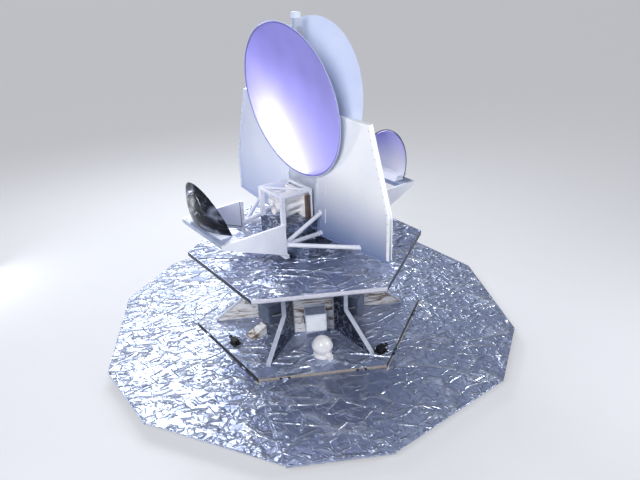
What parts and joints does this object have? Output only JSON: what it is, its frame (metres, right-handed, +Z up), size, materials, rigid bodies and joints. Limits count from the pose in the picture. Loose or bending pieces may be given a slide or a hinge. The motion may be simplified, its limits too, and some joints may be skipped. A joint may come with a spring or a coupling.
{
  "type": "space observatory satellite",
  "caption": "Space observatory satellite with back-to-back dish reflectors, radiators and instrument frame on a hexagonal bus above a round folding sun shield.",
  "frame": {"origin": "centre of the separation ring's lower face, on the floor", "axes": "+Z up along the hub, +X along the axis of one pair of dishes, +Y in the plane of the radiators"},
  "size_m": [4.992, 4.8446, 3.81],
  "materials": {
    "box_paint": "white thermal paint, satin",
    "bracket_alloy": "bare alloy",
    "core_blanket": "crinkled dark film",
    "deck_film": "crinkled metallised film over a panel",
    "fin_film": "crinkled metallised film, darker where it mirrors the sky",
    "frame_paint": "white paint, satin",
    "horn_metal": "bright machined alloy",
    "hub_blanket": "multilayer blanket, crinkled",
    "primary_coating": "satin reflective coating, violet sheen",
    "radiator_paint": "white thermal paint, matte",
    "receiver_case": "brownish coated case",
    "ring_alloy": "machined aluminium alloy",
    "secondary_coating": "satin reflective coating, violet sheen",
    "shield_film": "crinkled metallised film",
    "support_paint": "pale thermal paint, satin",
    "tank_shell": "smooth wrapped metal shell",
    "thruster_black": "black coated alloy",
    "web_film": "crinkled metallised film"
  },
  "bodies": {
    "bus": {"base_frame": "support_paint", "bay_box_1": "box_paint", "bay_box_2": "box_paint", "bay_box_3": "box_paint", "bay_box_4": "box_paint", "bay_box_5": "box_paint", "bay_box_6": "box_paint", "crossbar_a": "support_paint", "crossbar_b": "support_paint", "feed_horns_a": "horn_metal", "feed_horns_b": "horn_metal", "focal_frame_a": "frame_paint", "focal_frame_b": "frame_paint", "harness_wedge": "hub_blanket", "hub": "hub_blanket", "instrument_core": "core_blanket", "isolation_cylinder": "core_blanket", "lower_deck": "shield_film", "primary_a": "primary_coating", "primary_b": "primary_coating", "primary_pads_a": "bracket_alloy", "primary_pads_b": "bracket_alloy", "propellant_tank": "tank_shell", "radial_fins": "fin_film", "radiator_left": "radiator_paint", "radiator_right": "radiator_paint", "receiver_box_a": "receiver_case", "receiver_box_b": "receiver_case", "secondary_a": "secondary_coating", "secondary_b": "secondary_coating", "secondary_cradle_a": "support_paint", "secondary_cradle_b": "support_paint", "separation_ring": "ring_alloy", "spine": "support_paint", "struts": "support_paint", "support_plates_a": "support_paint", "support_plates_b": "support_paint", "thruster_pods": "thruster_black", "top_antenna": "support_paint", "upper_deck": "deck_film"},
    "shield_panel_1": {"shield_panel_1": "shield_film"},
    "web_1l": {"web_1l": "web_film"},
    "web_1r": {"web_1r": "web_film"},
    "shield_panel_2": {"shield_panel_2": "shield_film"},
    "web_2l": {"web_2l": "web_film"},
    "web_2r": {"web_2r": "web_film"},
    "shield_panel_3": {"shield_panel_3": "shield_film"},
    "web_3l": {"web_3l": "web_film"},
    "web_3r": {"web_3r": "web_film"},
    "shield_panel_4": {"shield_panel_4": "shield_film"},
    "web_4l": {"web_4l": "web_film"},
    "web_4r": {"web_4r": "web_film"},
    "shield_panel_5": {"shield_panel_5": "shield_film"},
    "web_5l": {"web_5l": "web_film"},
    "web_5r": {"web_5r": "web_film"},
    "shield_panel_6": {"shield_panel_6": "shield_film"},
    "web_6l": {"web_6l": "web_film"},
    "web_6r": {"web_6r": "web_film"}
  },
  "joints": [
    {"name": "shield_fold", "type": "hinge", "parent": "bus", "child": "shield_panel_1", "pos_m": [1.26071, 0, 0.14], "axis": [0, -1, 0], "range_deg": [0, 90]},
    {"name": "web_1l_fold", "type": "hinge", "parent": "shield_panel_1", "child": "web_1l", "pos_m": [1.26763, 0.71793, 0.136], "axis": [-0.9882, 0.1531, 0], "range_deg": [0, 50.04]},
    {"name": "web_1r_fold", "type": "hinge", "parent": "shield_panel_1", "child": "web_1r", "pos_m": [1.26763, -0.71793, 0.136], "axis": [0.9882, 0.1531, 0], "range_deg": [0, 50.04]},
    {"name": "shield_fold_2", "type": "hinge", "parent": "bus", "child": "shield_panel_2", "pos_m": [0.63035, 1.09181, 0.14], "axis": [0.866, -0.5, 0], "range_deg": [0, 90]},
    {"name": "web_2l_fold", "type": "hinge", "parent": "shield_panel_2", "child": "web_2l", "pos_m": [0.01207, 1.45676, 0.136], "axis": [-0.6267, -0.7792, 0], "range_deg": [0, 50.04]},
    {"name": "web_2r_fold", "type": "hinge", "parent": "shield_panel_2", "child": "web_2r", "pos_m": [1.25556, 0.73884, 0.136], "axis": [0.3615, 0.9324, 0], "range_deg": [0, 50.04]},
    {"name": "shield_fold_3", "type": "hinge", "parent": "bus", "child": "shield_panel_3", "pos_m": [-0.63035, 1.09181, 0.14], "axis": [0.866, 0.5, 0], "range_deg": [0, 90]},
    {"name": "web_3l_fold", "type": "hinge", "parent": "shield_panel_3", "child": "web_3l", "pos_m": [-1.25556, 0.73884, 0.136], "axis": [0.3615, -0.9324, 0], "range_deg": [0, 50.04]},
    {"name": "web_3r_fold", "type": "hinge", "parent": "shield_panel_3", "child": "web_3r", "pos_m": [-0.01207, 1.45676, 0.136], "axis": [-0.6267, 0.7792, 0], "range_deg": [0, 50.04]},
    {"name": "shield_fold_4", "type": "hinge", "parent": "bus", "child": "shield_panel_4", "pos_m": [-1.26071, 0, 0.14], "axis": [0, 1, 0], "range_deg": [0, 90]},
    {"name": "web_4l_fold", "type": "hinge", "parent": "shield_panel_4", "child": "web_4l", "pos_m": [-1.26763, -0.71793, 0.136], "axis": [0.9882, -0.1531, 0], "range_deg": [0, 50.04]},
    {"name": "web_4r_fold", "type": "hinge", "parent": "shield_panel_4", "child": "web_4r", "pos_m": [-1.26763, 0.71793, 0.136], "axis": [-0.9882, -0.1531, 0], "range_deg": [0, 50.04]},
    {"name": "shield_fold_5", "type": "hinge", "parent": "bus", "child": "shield_panel_5", "pos_m": [-0.63035, -1.09181, 0.14], "axis": [-0.866, 0.5, 0], "range_deg": [0, 90]},
    {"name": "web_5l_fold", "type": "hinge", "parent": "shield_panel_5", "child": "web_5l", "pos_m": [-0.01207, -1.45676, 0.136], "axis": [0.6267, 0.7792, 0], "range_deg": [0, 50.04]},
    {"name": "web_5r_fold", "type": "hinge", "parent": "shield_panel_5", "child": "web_5r", "pos_m": [-1.25556, -0.73884, 0.136], "axis": [-0.3615, -0.9324, 0], "range_deg": [0, 50.04]},
    {"name": "shield_fold_6", "type": "hinge", "parent": "bus", "child": "shield_panel_6", "pos_m": [0.63035, -1.09181, 0.14], "axis": [-0.866, -0.5, 0], "range_deg": [0, 90]},
    {"name": "web_6l_fold", "type": "hinge", "parent": "shield_panel_6", "child": "web_6l", "pos_m": [1.25556, -0.73884, 0.136], "axis": [-0.3615, 0.9324, 0], "range_deg": [0, 50.04]},
    {"name": "web_6r_fold", "type": "hinge", "parent": "shield_panel_6", "child": "web_6r", "pos_m": [0.01207, -1.45676, 0.136], "axis": [0.6267, -0.7792, 0], "range_deg": [0, 50.04]}
  ],
  "couplings": [
    {"joint": "web_1l_fold", "follows": "shield_fold", "ratio": 0.556},
    {"joint": "web_1r_fold", "follows": "shield_fold", "ratio": 0.556},
    {"joint": "shield_fold_2", "follows": "shield_fold", "ratio": 1},
    {"joint": "web_2l_fold", "follows": "shield_fold", "ratio": 0.556},
    {"joint": "web_2r_fold", "follows": "shield_fold", "ratio": 0.556},
    {"joint": "shield_fold_3", "follows": "shield_fold", "ratio": 1},
    {"joint": "web_3l_fold", "follows": "shield_fold", "ratio": 0.556},
    {"joint": "web_3r_fold", "follows": "shield_fold", "ratio": 0.556},
    {"joint": "shield_fold_4", "follows": "shield_fold", "ratio": 1},
    {"joint": "web_4l_fold", "follows": "shield_fold", "ratio": 0.556},
    {"joint": "web_4r_fold", "follows": "shield_fold", "ratio": 0.556},
    {"joint": "shield_fold_5", "follows": "shield_fold", "ratio": 1},
    {"joint": "web_5l_fold", "follows": "shield_fold", "ratio": 0.556},
    {"joint": "web_5r_fold", "follows": "shield_fold", "ratio": 0.556},
    {"joint": "shield_fold_6", "follows": "shield_fold", "ratio": 1},
    {"joint": "web_6l_fold", "follows": "shield_fold", "ratio": 0.556},
    {"joint": "web_6r_fold", "follows": "shield_fold", "ratio": 0.556}
  ]
}
